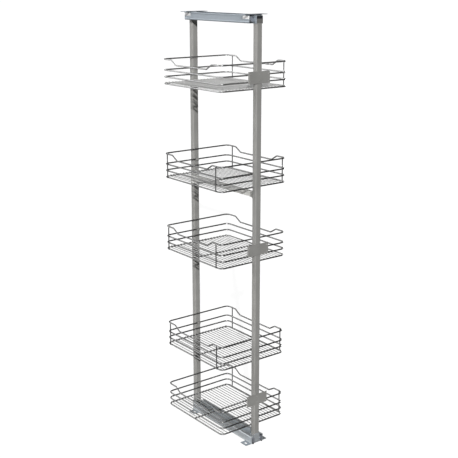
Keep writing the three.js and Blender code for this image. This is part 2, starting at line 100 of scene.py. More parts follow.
class Extent:
    """A node's box at rest, in millimetres."""

    def __init__(self, node):
        low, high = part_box(node)
        self.low, self.high = low / MM, high / MM
        self.middle = (self.low + self.high) / 2
        self.size = self.high - self.low

    def side(self):
        """-1 where the node lies left of the middle, 1 where it lies right of it."""
        return -1 if self.middle.x < 0 else 1

    def near_far(self):
        """Distances of the node's two sides from the unit's middle plane."""
        return sorted((abs(self.low.x), abs(self.high.x)))

    def side_face(self, inset_y, inset_z):
        """The box seen along X, with its edges moved inwards."""
        low, high = self.low, self.high
        return rectangle(low.y + inset_y, low.z + inset_z, high.y - inset_y, high.z - inset_z)


def body_of(node):
    """Name of the body that a node rides on."""
    carrier = frame["nodes"][node].parent
    return next(name for name, empty in frame["bodies"].items() if empty == carrier)


# ---------------------------------------------------------------- shapes


class Shape:
    """Corners in millimetres, faces by corner number, and each face's finish number."""

    def __init__(self, corners=(), faces=()):
        self.corners = [Vector(c) for c in corners]
        self.faces = [tuple(f) for f in faces]
        self.finishes = [0] * len(self.faces)

    def add(self, other, finish=None):
        first = len(self.corners)
        self.corners += other.corners
        self.faces += [tuple(first + i for i in face) for face in other.faces]
        self.finishes += other.finishes if finish is None else [finish] * len(other.faces)
        return self


def join(shapes):
    whole = Shape()
    for shape in shapes:
        whole.add(shape)
    return whole


def into_space(axis, u, v, w):
    """Outline coordinates (u, v) at w along an axis: (Y, Z) for X, (X, Z) for Y, (X, Y) for Z."""
    return Vector({"X": (w, u, v), "Y": (u, w, v), "Z": (u, v, w)}[axis])


def grown(outline, amount):
    """The outline with every corner moved outwards by an amount, or inwards if it is negative."""
    count, least = len(outline), 0.35  # least keeps the amount small at very sharp corners
    area = sum(
        outline[i - 1][0] * outline[i][1] - outline[i][0] * outline[i - 1][1]
        for i in range(count)
    )
    turn = math.copysign(1, area)
    result = []
    for i in range(count):
        here = Vector(outline[i])
        before = (here - Vector(outline[i - 1])).normalized()
        after = (Vector(outline[(i + 1) % count]) - here).normalized()
        out = [Vector((turn * d.y, -turn * d.x)) for d in (before, after)]
        middle = out[0] + out[1]
        if middle.length < 1e-6:
            middle = out[0].copy()
        middle.normalize()
        result.append(here + middle * (amount / max(least, middle.dot(out[0]))))
    return result


def ring_faces(first, second, count):
    """Faces between two rings of corners. First and second are the rings' first corners."""
    steps = [(i, (i + 1) % count) for i in range(count)]
    return [(first + i, first + j, second + j, second + i) for i, j in steps]


def end_faces(rings, count):
    """The two faces that close a row of rings."""
    last = (rings - 1) * count
    return [tuple(range(count))[::-1], tuple(range(last, last + count))]


def prism(outline, axis, start, end, holes=(), soft=0.0):
    """An outline drawn out along an axis. Soft is the size of the rounding at both ends."""
    loops = [outline, *holes]
    depths = [(start, 0), (end, 0)]
    if soft:
        rounding = ((0, 1), (0.3, 0.3), (1, 0))
        depths = [(start + a * soft, b * soft) for a, b in rounding]
        depths += [(end - a * soft, b * soft) for a, b in reversed(rounding)]
    corners = []
    for w, inset in depths:
        for i, loop in enumerate(loops):
            ring = grown(loop, inset if i else -inset) if inset else loop
            corners += [into_space(axis, u, v, w) for u, v in ring]
    faces, total, first = [], sum(len(loop) for loop in loops), 0
    for loop in loops:
        for step in range(len(depths) - 1):
            ring_start = step * total + first
            faces += ring_faces(ring_start, ring_start + total, len(loop))
        first += len(loop)
    last = total * (len(depths) - 1)
    if holes:
        flat = [[Vector((p[0], p[1], 0)) for p in loop] for loop in loops]
        caps = tessellate_polygon(flat)
    else:
        caps = [tuple(range(total))]
    faces += [tuple(reversed(cap)) for cap in caps]
    faces += [tuple(last + i for i in cap) for cap in caps]
    return Shape(corners, faces)


def rectangle(u0, v0, u1, v1):
    return [(u0, v0), (u1, v0), (u1, v1), (u0, v1)]


def circle(u, v, radius, steps=20):
    turns = [2 * math.pi * i / steps for i in range(steps)]
    return [(u + radius * math.cos(t), v + radius * math.sin(t)) for t in turns]


def rounded(line, radius, steps=4, closed=False):
    """The line with its corners rounded off."""
    points = [Vector(p) for p in line]
    result = []
    for i, corner in enumerate(points):
        if not closed and i in (0, len(points) - 1):
            result.append(corner)
            continue
        before = points[i - 1] - corner
        after = points[(i + 1) % len(points)] - corner
        half = before.angle(after) / 2
        reach = min(radius / math.tan(half), 0.49 * before.length, 0.49 * after.length)
        u, v = before.normalized(), after.normalized()
        centre = corner + (u + v).normalized() * (reach / math.cos(half))
        first, last = corner + u * reach - centre, corner + v * reach - centre
        turn = math.pi - 2 * half
        across = (last - first * math.cos(turn)) / math.sin(turn)
        for k in range(steps + 1):
            t = turn * k / steps
            result.append(centre + first * math.cos(t) + across * math.sin(t))
    return result


def rounded_box(u0, v0, u1, v1, radius, steps=4):
    return rounded(rectangle(u0, v0, u1, v1), radius, steps, closed=True)


def slot_outline(u, v, radius, straight, steps=8):
    """A slot with round ends whose straight stretch runs along v."""
    points = []
    for way in (1, -1):
        for k in range(steps + 1):
            t = math.pi * k / steps
            along = straight / 2 + radius * math.sin(t)
            points.append((u + way * radius * math.cos(t), v + way * along))
    return points


def bent_sheet(line, wall, bend, steps=4):
    """Outline of sheet metal folded along a line. Bend is the folds' inner radius."""
    middle = rounded(line, bend + wall / 2, steps)
    last = len(middle) - 1
    sides = ([], [])
    for i, point in enumerate(middle):
        along = (middle[min(i + 1, last)] - middle[max(i - 1, 0)]).normalized()
        across = Vector((-along.y, along.x)) * (wall / 2)
        sides[0].append(point + across)
        sides[1].append(point - across)
    return sides[0] + sides[1][::-1]


def tube(line, radius, closed=False, sides=12):
    """A round wire along a line, with rounded ends if the line isn't closed."""
    points = [Vector(p) for p in line]
    count = len(points)
    rings = []
    for i, point in enumerate(points):
        if closed:
            before, after = points[i - 1], points[(i + 1) % count]
        else:
            before, after = points[max(i - 1, 0)], points[min(i + 1, count - 1)]
        rings.append((point, (after - before).normalized(), radius))
    if not closed:
        dome = [(0.38, 0.92), (0.71, 0.71), (0.95, 0.32)]  # depth and width, in radii
        start, end = rings[0], rings[-1]
        front = [(start[0] - start[1] * d * radius, start[1], k * radius) for d, k in dome]
        back = [(end[0] + end[1] * d * radius, end[1], k * radius) for d, k in dome]
        rings = front[::-1] + rings + back
    upright = abs(rings[0][1].z) > 0.9
    guide = Vector((0, 1, 0)) if upright else Vector((0, 0, 1))
    corners, faces = [], []
    for centre, along, size in rings:
        across = along.cross(guide).normalized()
        over = across.cross(along)
        for k in range(sides):
            t = 2 * math.pi * k / sides
            corners.append(centre + across * (size * math.cos(t)) + over * (size * math.sin(t)))
    for i in range(len(rings) if closed else len(rings) - 1):
        faces += ring_faces(i * sides, (i + 1) % len(rings) * sides, sides)
    if not closed:
        faces += end_faces(len(rings), sides)
    return Shape(corners, faces)


def turned_part(profile, axis, centre, steps=24):
    """A profile of (radius, height) pairs turned about an axis through a centre."""
    corners, faces = [], []
    for radius, height in profile:
        for k in range(steps):
            t = 2 * math.pi * k / steps
            u, v = radius * math.cos(t), radius * math.sin(t)
            corners.append(into_space(axis, u, v, height) + Vector(centre))
    for i in range(len(profile) - 1):
        faces += ring_faces(i * steps, (i + 1) * steps, steps)
    return Shape(corners, faces + end_faces(len(profile), steps))


def bead(centre, radii, steps):
    """A drop of weld metal, a rivet's head or a ball. One with few steps has few rings too."""
    rings = 5 if steps < 14 else 9
    heights = [math.pi * (i + 0.5) / rings for i in range(rings)]
    profile = [(math.sin(t), -math.cos(t)) for t in heights]
    drop = turned_part(profile, "Z", (0, 0, 0), steps)
    drop.corners = [
        Vector((c.x * radii[0], c.y * radii[1], c.z * radii[2])) + Vector(centre)
        for c in drop.corners
    ]
    return drop


def mesh_of(name, shape):
    """A Blender mesh of the shape, in metres, with its faces turned outwards."""
    mesh = bpy.data.meshes.new(name)
    mesh.from_pydata([c * MM for c in shape.corners], [], shape.faces)
    mesh.polygons.foreach_set("material_index", shape.finishes)
    work = bmesh.new()
    work.from_mesh(mesh)
    bmesh.ops.recalc_face_normals(work, faces=work.faces)
    work.to_mesh(mesh)
    work.free()
    return mesh


def cut(shape, tools):
    """The shape with the room of the tools taken out of it."""
    made = []
    for name, part in (("cut_whole", shape), ("cut_tools", join(tools))):
        obj = bpy.data.objects.new(name, mesh_of(name, part))
        bpy.context.scene.collection.objects.link(obj)
        made.append(obj)
    whole, tool = made
    step = whole.modifiers.new("cut", "BOOLEAN")
    step.operation, step.solver, step.object = "DIFFERENCE", "EXACT", tool
    graph = bpy.context.evaluated_depsgraph_get()
    mesh = bpy.data.meshes.new_from_object(whole.evaluated_get(graph))
    result = Shape([v.co / MM for v in mesh.vertices], [p.vertices for p in mesh.polygons])
    result.finishes = [p.material_index for p in mesh.polygons]
    for obj in made:
        used = obj.data
        bpy.data.objects.remove(obj)
        bpy.data.meshes.remove(used)
    bpy.data.meshes.remove(mesh)
    return result


def add_piece(node, shape, finishes):
    """Adds a dressed piece that stands for a node, rides where it rides and has its finish."""
    mesh = mesh_of(node + "_piece", shape)
    for finish in finishes:
        mesh.materials.append(bpy.data.materials[finish])
    mesh.polygons.foreach_set("use_smooth", [True] * len(mesh.polygons))
    mesh.set_sharp_from_angle(angle=SHARP)
    obj = bpy.data.objects.new(mesh.name, mesh)
    bpy.context.scene.collection.objects.link(obj)
    even = obj.modifiers.new("Even shading", "WEIGHTED_NORMAL")
    even.keep_sharp = True
    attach(obj, body_of(node))
    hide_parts(node)


# ---------------------------------------------------------------- settings


def length(label, text, default):
    return bpy.props.FloatProperty(
        name=label,
        description=text,
        default=default,
        min=0,
        max=1,
        subtype="DISTANCE",
        unit="LENGTH",
        precision=4,
    )


def colour(label, text, default):
    return bpy.props.FloatVectorProperty(
        name=label, description=text, default=default, min=0, max=1, size=3, subtype="COLOR"
    )


def share(label, text, default):
    return bpy.props.FloatProperty(
        name=label, description=text, default=default, min=0, max=1, subtype="FACTOR"
    )


def strength(label, text, default):
    return bpy.props.FloatProperty(name=label, description=text, default=default, min=0, max=50)


class LarderSizes(bpy.types.PropertyGroup):
    """Sizes of the wires, of the brace's folds and of the edges of sheet metal."""

    rim_radius: length("Rim wire radius", "Half the thickness of a rim wire", 0.0030)
    floor_radius: length("Floor wire radius", "Half the thickness of a floor wire", 0.0017)
    upright_radius: length("Upright wire radius", "Half the thickness of an upright", 0.0025)
    corner: length("Basket corner", "Radius of a basket's corners", 0.02)
    sheet_bend: length("Brace bend", "Inner radius of the brace's folds", 0.0012)
    soft_edge: length("Soft edge", "Rounding of the edges of cut sheet metal", 0.0003)


class LarderColours(bpy.types.PropertyGroup):
    """Colours of the finishes, some brightened or darkened as painted light and shade, and how worn
    and dusty they are.
    """

    # The brace and the rear clip take this grey brightened as painted light, and the top beam's tab
    # takes it darkened as painted shade.
    paint: colour("Paint", "Grey paint of the posts, brace and plates", (0.285, 0.282, 0.270))
    # The top basket takes a lightened copy of the rim coating as painted light.
    rim: colour("Rim wires", "Coating of the thick wires", (0.30, 0.30, 0.30))
    # The top basket takes a lightened copy of the floor coating as painted light, the two lowest
    # baskets a darkened one as painted shade.
    floor: colour("Floor wires", "Coating of the thin wires", (0.46, 0.46, 0.455))
    zinc: colour("Zinc", "Plating of the top beam, its runners and the plates", (0.36, 0.40, 0.44))
    # Zinc brightened as painted light on the bottom beam and its runners, against the baskets'
    # shade.
    painted_light_zinc: colour("Zinc brightened as painted light", "Plating of the bottom beam and its runners", (0.74, 0.78, 0.81))
    steel: colour("Steel", "Bright steel of the middle members and cages", (0.52, 0.53, 0.55))
    tab: colour("Tab steel", "Plating of the moving members", (0.42, 0.44, 0.49))
    dark_steel: colour("Screw steel", "Blackened steel of the screws", (0.06, 0.062, 0.068))
    white: colour("White plastic", "Front blocks of the top runners", (0.93, 0.935, 0.935))
    pale: colour("Grey plastic", "Rear blocks of the top runners", (0.76, 0.755, 0.76))
    # Also the black plug that paints the shade in the top beam's open end.
    rubber: colour("Rubber", "Bumpers, and the top beam's plug", (0.014, 0.015, 0.018))
    wear: share("Edge wear", "How much of the edges is rubbed bare", 0.35)
    dust: share("Dust", "How much dust lies on the upper faces", 0.12)


class LarderStage(bpy.types.PropertyGroup):
    """The camera's place, the floor and the lights."""

    camera_place: bpy.props.FloatVectorProperty(
        name="Camera place",
        description="Where the camera stands",
        default=(-2.3368, -3.0572, 1.9524),
        size=3,
        subtype="TRANSLATION",
        unit="LENGTH",
    )
    camera_turn: bpy.props.FloatVectorProperty(
        name="Camera turn",
        description="Pitch, roll and heading of the camera",
        default=(math.radians(74.841), math.radians(0.041), math.radians(-37.681)),
        size=3,
        subtype="EULER",
        unit="ROTATION",
    )
    lens: bpy.props.FloatProperty(
        name="Lens",
        description="Focal length on a 36 mm sensor, in millimetres",
        default=73.5,
        min=10,
        max=300,
    )
    floor: colour("Floor", "Colour of the plain floor", (0.22, 0.22, 0.22))
    floor_glow: strength("Floor glow", "How brightly the camera sees the floor", 0.88)
    key: strength("Key light", "Strength of the light from the front left", 3.2)
    side: strength("Side light", "Strength of the broad light from the rear left", 2.1)
    fill: strength("Fill light", "Strength of the light from the right", 1.3)
    top: strength("Top light", "Strength of the broad light from above", 0.25)
    room: strength("Room light", "Strength of the even light from all sides", 0.03)


# ---------------------------------------------------------------- node building


def put(tree, kind, sources=None, **settings):
    """Adds a node. Sources go by input name or number: a value, or another node's socket."""
    node = tree.nodes.new(kind)
    for key, value in settings.items():
        setattr(node, key, value)
    for key, source in (sources or {}).items():
        if isinstance(source, bpy.types.NodeSocket):
            tree.links.new(source, node.inputs[key])
        else:
            node.inputs[key].default_value = source
    node.location = (200 * (len(tree.nodes) % 8), -260 * (len(tree.nodes) // 8))
    return node


def start_group(name, inputs, outputs):
    """A new shader node group with number inputs (name, default) and number outputs."""
    tree = bpy.data.node_groups.new(name, "ShaderNodeTree")
    for label, default in inputs:
        socket = tree.interface.new_socket(label, in_out="INPUT", socket_type="NodeSocketFloat")
        socket.default_value = default
    for label in outputs:
        tree.interface.new_socket(label, in_out="OUTPUT", socket_type="NodeSocketFloat")
    return tree, tree.nodes.new("NodeGroupInput"), tree.nodes.new("NodeGroupOutput")


def piece_place(tree):
    """Where a point lies on its piece."""
    return put(tree, "ShaderNodeTexCoord").outputs["Object"]


def noise(tree, place, scale, detail, roughness=0.5, output=0):
    sources = {"Vector": place, "Scale": scale, "Detail": detail, "Roughness": roughness}
    return put(tree, "ShaderNodeTexNoise", sources).outputs[output]


def spread(tree, value, low, high, start=0.0, end=1.0):
    """The value stretched, so that low becomes start and high becomes end."""
    sources = {"Value": value, "From Min": low, "From Max": high, "To Min": start, "To Max": end}
    return put(tree, "ShaderNodeMapRange", sources).outputs[0]


def product(tree, first, second, kind="ShaderNodeMath"):
    return put(tree, kind, {0: first, 1: second}, operation="MULTIPLY").outputs[0]


def make_grain_group():
    """Fine grain of a coating or a moulding: a height for bumps and a slow change of tone."""
    inputs = [("Grains per metre", 1500), ("Patches per metre", 14)]
    tree, given, result = start_group("Fine grain", inputs, ["Height", "Tone"])
    place = piece_place(tree)
    fine = noise(tree, place, given.outputs[0], 3, 0.55)
    broad = noise(tree, place, given.outputs[1], 5, 0.6)
    tree.links.new(fine, result.inputs["Height"])
    tree.links.new(spread(tree, broad, 0.3, 0.7), result.inputs["Tone"])


def make_rolling_group():
    """Long fine lines that rolling leaves in strip steel, along the unit's length."""
    inputs = [("Lines per metre", 900), ("Breaks per metre", 9)]
    tree, given, result = start_group("Rolling lines", inputs, ["Height", "Tone"])
    lines, breaks = given.outputs[0], given.outputs[1]
    stretch = put(tree, "ShaderNodeCombineXYZ", {"X": lines, "Y": breaks, "Z": lines})
    drawn = product(tree, piece_place(tree), stretch.outputs[0], "ShaderNodeVectorMath")
    height = noise(tree, drawn, 1, 4, 0.65)
    tree.links.new(height, result.inputs["Height"])
    tree.links.new(spread(tree, height, 0.3, 0.7), result.inputs["Tone"])


def make_spangle_group():
    """The crystal flakes of zinc plating."""
    tree, given, result = start_group("Zinc flakes", [("Flakes per metre", 160)], ["Tone"])
    place = piece_place(tree)
    sources = {"Factor": 0.03, 4: place, 5: noise(tree, place, 60, 2, output="Color")}
    bent = put(tree, "ShaderNodeMix", sources, data_type="VECTOR").outputs[1]
    flakes = put(tree, "ShaderNodeTexVoronoi", {"Vector": bent, "Scale": given.outputs[0]})
    grey = put(tree, "ShaderNodeSeparateColor", {0: flakes.outputs["Color"]})
    tree.links.new(grey.outputs[0], result.inputs["Tone"])


def make_wear_group():
    """Where edges are rubbed bare: a mask that is 1 on worn edges."""
    inputs = [("Amount", 0.3), ("Edge width", 0.0008), ("Breaks per metre", 90)]
    tree, given, result = start_group("Edge wear", inputs, ["Mask"])
    face = put(tree, "ShaderNodeNewGeometry").outputs["Normal"]
    edge = put(tree, "ShaderNodeBevel", {"Radius": given.outputs["Edge width"]}, samples=4)
    sources = {0: face, 1: edge.outputs[0]}
    turn = put(tree, "ShaderNodeVectorMath", sources, operation="DOT_PRODUCT").outputs["Value"]
    patchy = noise(tree, piece_place(tree), given.outputs["Breaks per metre"], 6, 0.7)
    worn = product(tree, spread(tree, turn, 0.995, 0.9), spread(tree, patchy, 0.42, 0.62))
    tree.links.new(product(tree, worn, given.outputs["Amount"]), result.inputs["Mask"])


def make_dust_group():
    """Dust that settles on upper faces: a mask that is 1 where it lies thick."""
    tree, given, result = start_group("Dust", [("Amount", 0.2)], ["Mask"])
    normal = put(tree, "ShaderNodeNewGeometry").outputs["Normal"]
    up = put(tree, "ShaderNodeSeparateXYZ", {0: normal}).outputs["Z"]
    patchy = noise(tree, piece_place(tree), 35, 5)
    dusty = product(tree, spread(tree, up, 0.35, 1.0), patchy)
    tree.links.new(product(tree, dusty, given.outputs["Amount"]), result.inputs["Mask"])


def effect(tree, name, **values):
    """Places a shared effect in a material, with its own values by input name."""
    node = put(tree, "ShaderNodeGroup", node_tree=bpy.data.node_groups[name])
    for label, value in values.items():
        node.inputs[label.replace("_", " ")].default_value = value
    return node.outputs


def blend_colours(tree, factor, first, second):
    """A mix of two colours by a mask. Each is a colour or another node's socket."""
    first, second = (
        c if isinstance(c, bpy.types.NodeSocket) else (*c, 1.0) for c in (first, second)
    )
    sources = {0: factor, 6: first, 7: second}
    return put(tree, "ShaderNodeMix", sources, data_type="RGBA").outputs[2]


def shaded(rgb, factor):
    return tuple(min(1.0, c * factor) for c in rgb)


def new_material(name):
    material = bpy.data.materials.new(name)
    material.use_nodes = True
    material.node_tree.nodes.clear()
    return material.node_tree


def end_material(tree, shader):
    """Joins a material's shader to its output."""
    output = tree.nodes.new("ShaderNodeOutputMaterial")
    tree.links.new(shader.outputs[0], output.inputs[0])


def make_finish(
    tree, rgb, tone, height, rough, bump, metallic=0.0, bare=0.0, wear=0.0, dust=0.0, coat=0.0
):
    """Joins a finish's tone and height to its shader, with worn edges and dust over them.

    Rough is the range of roughness, bump the strength and depth of the relief, and bare how much
    lighter the colour is where edges are worn, or 0 for a finish without worn edges.
    """
    base = blend_colours(tree, tone, shaded(rgb, 0.88), shaded(rgb, 1.1))
    if bare:
        mask = effect(tree, "Edge wear", Amount=wear)["Mask"]
        base = blend_colours(tree, mask, base, shaded(rgb, bare))
    if dust:
        mask = effect(tree, "Dust", Amount=dust)["Mask"]
        base = blend_colours(tree, mask, base, (0.62, 0.60, 0.57))
    sources = {"Strength": bump[0], "Distance": bump[1], "Height": height}
    relief = put(tree, "ShaderNodeBump", sources)
    sources = {
        "Base Color": base,
        "Roughness": spread(tree, tone, 0, 1, *rough),
        "Metallic": metallic,
        "Normal": relief.outputs[0],
        "Coat Weight": coat,
        "Coat Roughness": 0.25,
    }
    end_material(tree, put(tree, "ShaderNodeBsdfPrincipled", sources))


def coated_finish(name, rgb, wear, dust, rough=(0.42, 0.55), metallic=0.0, coat=0.15):
    """Baked coating with a faint orange peel, rubbed at the edges down to bare steel."""
    tree = new_material(name)
    grain = effect(tree, "Fine grain", Grains_per_metre=900, Patches_per_metre=9)
    make_finish(
        tree, rgb, grain["Tone"], grain["Height"], rough, (0.12, 0.0004), metallic,
        bare=1.9, wear=wear, dust=dust, coat=coat,
    )


def plated_finish(name, rgb, wear, dust):
    """Zinc-plated strip steel: flakes under long rolling lines."""
    tree = new_material(name)
    lines = effect(tree, "Rolling lines", Lines_per_metre=700, Breaks_per_metre=7)
    flakes = effect(tree, "Zinc flakes", Flakes_per_metre=210)
    tone = put(tree, "ShaderNodeMix", {0: 0.4, 2: lines["Tone"], 3: flakes["Tone"]}).outputs[0]
    make_finish(
        tree, rgb, tone, lines["Height"], (0.34, 0.52), (0.10, 0.0003), 0.75,
        bare=1.6, wear=wear, dust=dust,
    )


def bright_finish(name, rgb):
    """Bright rolled steel."""
    tree = new_material(name)
    lines = effect(tree, "Rolling lines", Lines_per_metre=1400, Breaks_per_metre=5)
    make_finish(tree, rgb, lines["Tone"], lines["Height"], (0.2, 0.36), (0.08, 0.0002), 1.0)


def moulded_finish(name, rgb, rough, grains, bump):
    """Moulded plastic or rubber with a fine matt texture."""
    tree = new_material(name)
    grain = effect(tree, "Fine grain", Grains_per_metre=grains, Patches_per_metre=40)
    make_finish(
        tree, rgb, grain["Tone"], grain["Height"], rough, (bump, 0.0003), bare=1.25, wear=0.3
    )


# ---------------------------------------------------------------- pieces


def on_side(side, near, far):
    """Two distances from the middle plane as places along X on one side, the lower one first."""
    return sorted((side * near, side * far))


def side_holes(places, radius):
    """Round tools that reach through the unit from side to side, at places (Y, Z)."""
    reach = 40
    return [prism(circle(y, z, radius), "X", -reach, reach) for y, z in places]


def rivet(axis, centre, radius, height):
    """A domed rivet head on a face that looks along an axis."""
    return bead(centre, into_space(axis, radius, radius, height), 16)


def rim_line(half_x, half_y, z, corner, dips):
    """Middle line of a rim wire. One that dips does so along both sides."""
    if not dips:
        corners = [(half_x, half_y), (-half_x, half_y), (-half_x, -half_y), (half_x, -half_y)]
        return rounded([(x, y, z) for x, y in corners], corner, 8, closed=True)
    slope_start, slope_end, drop, slope_bend = half_y - 58, half_y - 92, 20, 14
    left = [
        (-half_x, slope_start, z),
        (-half_x, slope_end, z - drop),
        (-half_x, -slope_end, z - drop),
        (-half_x, -slope_start, z),
    ]
    right = [(half_x, -y, height) for _, y, height in left]
    points = [(half_x, half_y, z), (-half_x, half_y, z), *left]
    points += [(-half_x, -half_y, z), (half_x, -half_y, z), *right]
    result = []
    for i, point in enumerate(points):
        before, after = points[i - 1], points[(i + 1) % len(points)]
        bend, steps = (corner, 8) if abs(point[1]) > half_y - 1 else (slope_bend, 4)
        result += rounded([before, point, after], bend, steps)[1:-1]
    return result


def floor_wires(half_x, half_y, rim_top, radius):
    """The thin wires of a basket's floor, each welded on at both ends and at the cross wire."""
    inset, overlap = 12, 0.45
    z = rim_top + radius - overlap
    shape = Shape()
    for i in range(FLOOR_WIRES):
        x = (half_x - inset) * (2 * i / (FLOOR_WIRES - 1) - 1)
        shape.add(tube([(x, -half_y, z), (x, half_y, z)], radius, sides=10), finish=1)
        for y in (-half_y, 0, half_y):
            shape.add(bead((x, y, rim_top - 0.1), (1.7, 2.1, 0.8), 8))
    return shape


def upright(side, x, y, floor, radius):
    """An upright wire on one side of a basket, with a weld drop at each rim wire."""
    foot, head = floor + RIM_LEVELS[0] + 0.7, floor + RIM_LEVELS[-1] - 0.7
    shape = tube([(x, y, foot), (x, y, head)], radius)
    for level in RIM_LEVELS:
        shape.add(bead((x - side * (radius - 0.2), y, floor + level), (0.8, 2.4, 2.2), 8))
    return shape


def make_basket(node, sizes):
    """A basket of round wire: four rims, a cross wire, floor wires, uprights and weld drops."""
    extent = Extent(node)
    rim, thin, post = sizes.rim_radius / MM, sizes.floor_radius / MM, sizes.upright_radius / MM
    sides = UPRIGHT_SIDES.get(node, (-1, 1))
    half_x = min(-extent.low.x, extent.high.x) - rim
    if len(sides) == 2:  # here the box reaches past the rims on both sides
        half_x -= 2 * post - UPRIGHT_OVERLAP
    half_y, floor = extent.high.y - rim, extent.low.z + rim
    shape = Shape()
    for level in RIM_LEVELS:
        dips = level == RIM_LEVELS[-1]
        line = rim_line(half_x, half_y, floor + level, sizes.corner / MM, dips)
        shape.add(tube(line, rim, closed=True))
    shape.add(tube([(-half_x, 0, floor), (half_x, 0, floor)], rim))
    shape.add(floor_wires(half_x, half_y, floor + rim, thin))
    from_end = 28
    for side in sides:
        x = side * (half_x + rim + post - UPRIGHT_OVERLAP)
        for y in (from_end - half_y, half_y - from_end):
            shape.add(upright(side, x, y, floor, post))
    # The top basket's coatings are lightened copies as painted light, and the two lowest baskets'
    # floor coating is a darkened copy as painted shade.
    finishes = ["Rim wire coating", "Floor wire coating"]
    if node == BASKETS[0]:
        finishes = ["Rim wire coating brightened as painted light", "Floor wire coating brightened as painted light"]
    elif node in BASKETS[3:]:
        finishes[1] = "Floor wire coating darkened as painted shade"
    add_piece(node, shape, finishes)


def make_hook(node, sizes):
    """A bent hook under a basket's third rim wire, with two rivets in the post."""
    extent = Extent(node)
    low, high = extent.low, extent.high
    end = -1 if extent.middle.y < 0 else 1
    wall, bend, lip_height = 2.5, 0.5, 6.5
    lip, back = sorted((abs(low.y), abs(high.y)))
    lip_y, back_y = end * (lip + wall / 2), end * (back - wall / 2)
    ledge = high.z - lip_height - wall / 2
    line = [(back_y, low.z), (back_y, ledge), (lip_y, ledge), (lip_y, high.z)]
    shape = prism(bent_sheet(line, wall, bend), "X", low.x, high.x, soft=sizes.soft_edge / MM)
    for height in (5.5, 13.5):
        shape.add(rivet("Y", (0, end * (back - wall), low.z + height), 2.6, 1.0))
    add_piece(node, shape, ["Grey paint"])


def make_post(node, sizes):
    """A rectangular tube with rounded corners and a screw hole near each end."""
    extent = Extent(node)
    low, high = extent.low, extent.high
    wall, corner = 1.75, 5.0
    outside, inside = (
        rounded_box(low.x + inset, low.y + inset, high.x - inset, high.y - inset, corner - inset, 5)
        for inset in (0, wall)
    )
    shape = prism(outside, "Z", low.z, high.z, [inside], soft=sizes.soft_edge / MM)
    places = [Extent(node + screw).middle.yz for screw in ("_foot_screw", "_top_screw")]
    add_piece(node, cut(shape, side_holes(places, SCREW_HOLE)), ["Grey paint"])


def channel_line(half, low, high, wall):
    """Middle line of a channel that stands on its web, or hangs from it if low is above high."""
    way = 1 if high > low else -1
    x, web = half - wall / 2, low + way * wall / 2
    return [(-x, high), (-x, web), (x, web), (x, high)]


def make_beam(node, sizes):
    """The channel that holds the posts' ends, with its screw holes and its front end.

    The bottom beam's front is a tab that stands higher than its sides. The top beam has two spare
    holes, a dark tab over the lower part of its front as painted shade on the post's top, and a
    black plug above that as painted shade in its open end.
    """
    extent, soft = Extent(node), sizes.soft_edge / MM
    low, high = extent.low, extent.high
    half, front, rear = high.x, -high.y, high.y
    top = node == "top_beam"
    web, edge = (high.z, low.z) if top else (low.z, high.z - 8)
    outline = bent_sheet(channel_line(half, web, edge, SHEET), SHEET, 0.4)
    shape = prism(outline, "Y", front, rear, soft=soft)
    screw = "top" if top else "foot"
    places = [Extent(f"{end}_post_{screw}_screw").middle.yz for end in ENDS]
    holes = side_holes(places, SCREW_HOLE)
    if top:
        spare_places = [(front + from_front, web - 7) for from_front in (19.5, 37.5)]
        holes += side_holes(spare_places, 3)
    shape = cut(shape, holes)
    if top:
        # The dark tab is painted shade on the post's top, and the black plug paints the shade
        # inside the beam's open end.
        inside = half - SHEET - 0.3
        shade_tab_top, shade_tab_bottom = web - 11.5, web - 28
        shade_plug_top, shade_plug_bottom = web - SHEET - 0.2, web - 16
        tab = rounded_box(-inside, shade_tab_bottom, inside, shade_tab_top, 1.5)
        shape.add(prism(tab, "Y", front - 1.3, front, soft=0.3), finish=1)
        plug = rectangle(-inside, shade_plug_bottom, inside, shade_plug_top)
        shape.add(prism(plug, "Y", front + 1.5, front + 8, soft=0.3), finish=2)
    else:
        tab = rounded_box(-half, low.z, half, high.z, 2.5)
        shape.add(prism(tab, "Y", low.y, front, soft=soft))
    # The bottom beam's zinc is brightened as painted light; the top beam's tab and plug are painted
    # shade.
    finishes = ["Zinc plating" if top else "Zinc brightened as painted light", "Grey paint darkened as painted shade", "Black rubber and painted shade"]
    add_piece(node, shape, finishes)


def member_line(near, far, half, wall, step=0.0):
    """Middle line of a runner member, from its lower lip round its back to its upper lip."""
    back, edge = far - wall / 2, half - wall / 2
    if near > far:
        back = far + wall / 2
    line = [(near, -edge), (back, -edge)]
    if step:
        inner = back - step
        line += [(back, -0.66 * half), (inner, -0.56 * half)]
        line += [(inner, 0.56 * half), (back, 0.66 * half)]
    return [*line, (back, edge), (near, edge)]


def member_outline(extent, line, wall, bend, steps=5):
    """Bent sheet along a member's middle line, on its own side and at its own height."""
    side, height = extent.side(), extent.middle.z
    return [(side * u, height + v) for u, v in bent_sheet(line, wall, bend, steps)]


def make_moving_member(node):
    """The member on the beam's side, with a folded tab across the runner's mouth."""
    extent = Extent(node)
    low, high = extent.low, extent.high
    near, _ = extent.near_far()
    line = member_line(near + MOVING_REACH, near, MOVING_HALF, MEMBER_WALL)
    outline = member_outline(extent, line, MEMBER_WALL, 0.6)
    front = low.y + MEMBER_WALL
    shape = prism(outline, "Y", front, high.y, soft=0.2)
    tab = rounded_box(low.x, low.z, high.x, high.z, 1.5)
    shape.add(prism(tab, "Y", low.y, front, soft=0.3))
    add_piece(node, shape, ["Tab steel"])


def make_member(node, bend, step, finish, blocks=()):
    """A rolled member of a ball runner, with a window in its back for each block."""
    extent = Extent(node)
    near, far = extent.near_far()
    line = member_line(near, far, extent.size.z / 2, MEMBER_WALL, step)
    outline = member_outline(extent, line, MEMBER_WALL, bend)
    shape = prism(outline, "Y", extent.low.y, extent.high.y, soft=0.2)
    if blocks:
        gap, depth, past = 0.75, 2.4, 4
        inset = BLOCK_LIP - gap
        start, end = on_side(extent.side(), far - depth, far + past)
        faces = [Extent(block).side_face(inset, inset) for block in blocks]
        shape = cut(shape, [prism(face, "X", start, end) for face in faces])
    add_piece(node, shape, [finish])


